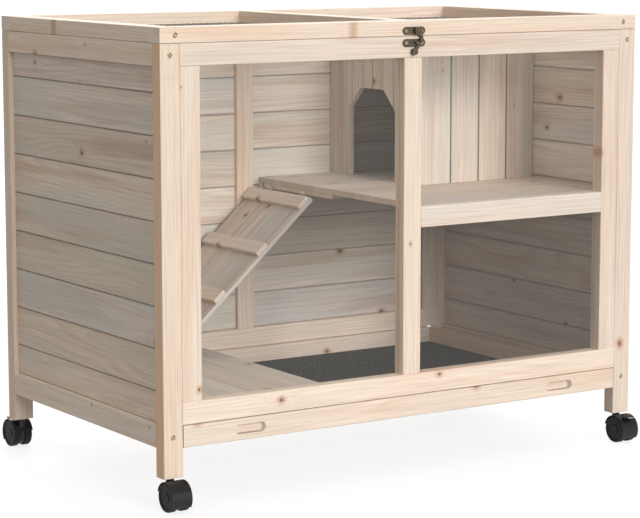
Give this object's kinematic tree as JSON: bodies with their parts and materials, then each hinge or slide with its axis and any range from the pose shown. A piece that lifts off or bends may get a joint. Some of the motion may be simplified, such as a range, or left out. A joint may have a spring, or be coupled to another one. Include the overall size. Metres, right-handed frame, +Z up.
{
  "type": "rabbit hutch",
  "caption": "Indoor wooden rabbit hutch on castors with clear front panes, a hinged wire lid, an upper floor with a bedroom, a ladder and a pull-out tray.",
  "frame": {"origin": "on the floor, under the middle of the hutch", "axes": "+X to the right along the front, +Y from front to back, +Z up"},
  "size_m": [0.915, 0.5988, 0.73],
  "materials": {
    "fir": "planed fir, clear satin lacquer",
    "boards": "tongued fir boards, satin lacquer",
    "mesh_wire": "dark grey coated wire",
    "clear_acrylic": "clear acrylic",
    "tray_liner": "grained dark grey liner",
    "bright_steel": "zinc-plated steel",
    "screw_steel": "yellow zinc screws",
    "bronze": "antique bronze",
    "castor_plastic": "black nylon",
    "castor_tread": "black tread"
  },
  "bodies": {
    "cabinet": {"back_boards": "boards", "back_posts": "fir", "back_rails": "fir", "bedroom_front_wall": "boards", "bedroom_roof": "boards", "bedroom_side_wall": "boards", "castor_stems": "bright_steel", "frame_screws": "screw_steel", "front_crossbar": "fir", "front_head_rail": "fir", "front_sill_rail": "fir", "front_stile_centre": "fir", "front_stile_left": "fir", "front_stile_right": "fir", "hinge_fixed_leaves": "bright_steel", "latch_catch": "bronze", "leg_back_left": "fir", "leg_back_right": "fir", "leg_front_left": "fir", "leg_front_right": "fir", "plate_screws_frame": "screw_steel", "platform_battens": "fir", "platform_boards": "boards", "shelf_battens": "fir", "shelf_boards": "boards", "shelf_screw_eyes": "bright_steel", "side_boards_left": "boards", "side_boards_right": "boards", "side_rails_left": "fir", "side_rails_right": "fir", "tray_runners": "fir", "window_panes": "clear_acrylic"},
    "lid": {"lid_rail_front": "fir", "lid_rail_back": "fir", "lid_cross_rails": "fir", "lid_mesh_left": "mesh_wire", "lid_mesh_right": "mesh_wire", "hinge_lid_leaves": "bright_steel", "latch_plate": "bronze", "lid_screws": "screw_steel", "plate_screws_lid": "screw_steel"},
    "latch_arm": {"latch_arm": "bronze"},
    "drawer": {"tray_front": "fir", "tray_sides": "fir", "tray_back": "fir", "tray_floor": "boards", "tray_pan": "tray_liner"},
    "ladder": {"ladder_boards": "boards", "ladder_cleats": "fir", "ladder_screw_eyes": "bright_steel"},
    "castor_front_left": {"castor_hood_front_left": "castor_plastic"},
    "wheels_front_left": {"castor_wheels_front_left": "castor_tread"},
    "castor_front_right": {"castor_hood_front_right": "castor_plastic"},
    "wheels_front_right": {"castor_wheels_front_right": "castor_tread"},
    "brake_front_right": {"brake_pedal_front_right": "castor_plastic"},
    "castor_back_left": {"castor_hood_back_left": "castor_plastic"},
    "wheels_back_left": {"castor_wheels_back_left": "castor_tread"},
    "brake_back_left": {"brake_pedal_back_left": "castor_plastic"},
    "castor_back_right": {"castor_hood_back_right": "castor_plastic"},
    "wheels_back_right": {"castor_wheels_back_right": "castor_tread"}
  },
  "joints": [
    {"name": "lid_hinge", "type": "hinge", "parent": "cabinet", "child": "lid", "pos_m": [0, 0.2711, 0.7058], "axis": [-1, 0, 0], "range_deg": [0, 105]},
    {"name": "latch_swing", "type": "hinge", "parent": "lid", "child": "latch_arm", "pos_m": [0.0054, -0.2705, 0.714], "axis": [0, -1, 0], "range_deg": [0, 90]},
    {"name": "drawer_slide", "type": "slide", "parent": "cabinet", "child": "drawer", "axis": [0, -1, 0], "range_m": [0, 0.4]},
    {"name": "ladder_hinge", "type": "hinge", "parent": "cabinet", "child": "ladder", "pos_m": [0.026, 0.1475, 0.42], "axis": [0, 1, 0], "range_deg": [0, 80]},
    {"name": "swivel_front_left", "type": "hinge", "parent": "cabinet", "child": "castor_front_left", "pos_m": [-0.4405, -0.2555, 0.048], "axis": [0, 0, 1], "continuous": true},
    {"name": "wheel_front_left", "type": "hinge", "parent": "castor_front_left", "child": "wheels_front_left", "pos_m": [-0.4405, -0.2705, 0.0225], "axis": [1, 0, 0], "continuous": true},
    {"name": "swivel_front_right", "type": "hinge", "parent": "cabinet", "child": "castor_front_right", "pos_m": [0.4405, -0.2555, 0.048], "axis": [0, 0, 1], "continuous": true},
    {"name": "wheel_front_right", "type": "hinge", "parent": "castor_front_right", "child": "wheels_front_right", "pos_m": [0.4405, -0.2705, 0.0225], "axis": [1, 0, 0], "continuous": true},
    {"name": "brake_front_right", "type": "hinge", "parent": "castor_front_right", "child": "brake_front_right", "pos_m": [0.4405, -0.28743, 0.04417], "axis": [-1, 0, 0], "range_deg": [0, 20]},
    {"name": "swivel_back_left", "type": "hinge", "parent": "cabinet", "child": "castor_back_left", "pos_m": [-0.4405, 0.2555, 0.048], "axis": [0, 0, 1], "continuous": true},
    {"name": "wheel_back_left", "type": "hinge", "parent": "castor_back_left", "child": "wheels_back_left", "pos_m": [-0.4405, 0.2705, 0.0225], "axis": [1, 0, 0], "continuous": true},
    {"name": "brake_back_left", "type": "hinge", "parent": "castor_back_left", "child": "brake_back_left", "pos_m": [-0.4405, 0.28743, 0.04417], "axis": [1, 0, 0], "range_deg": [0, 20]},
    {"name": "swivel_back_right", "type": "hinge", "parent": "cabinet", "child": "castor_back_right", "pos_m": [0.4405, 0.2555, 0.048], "axis": [0, 0, 1], "continuous": true},
    {"name": "wheel_back_right", "type": "hinge", "parent": "castor_back_right", "child": "wheels_back_right", "pos_m": [0.4405, 0.2705, 0.0225], "axis": [1, 0, 0], "continuous": true}
  ]
}
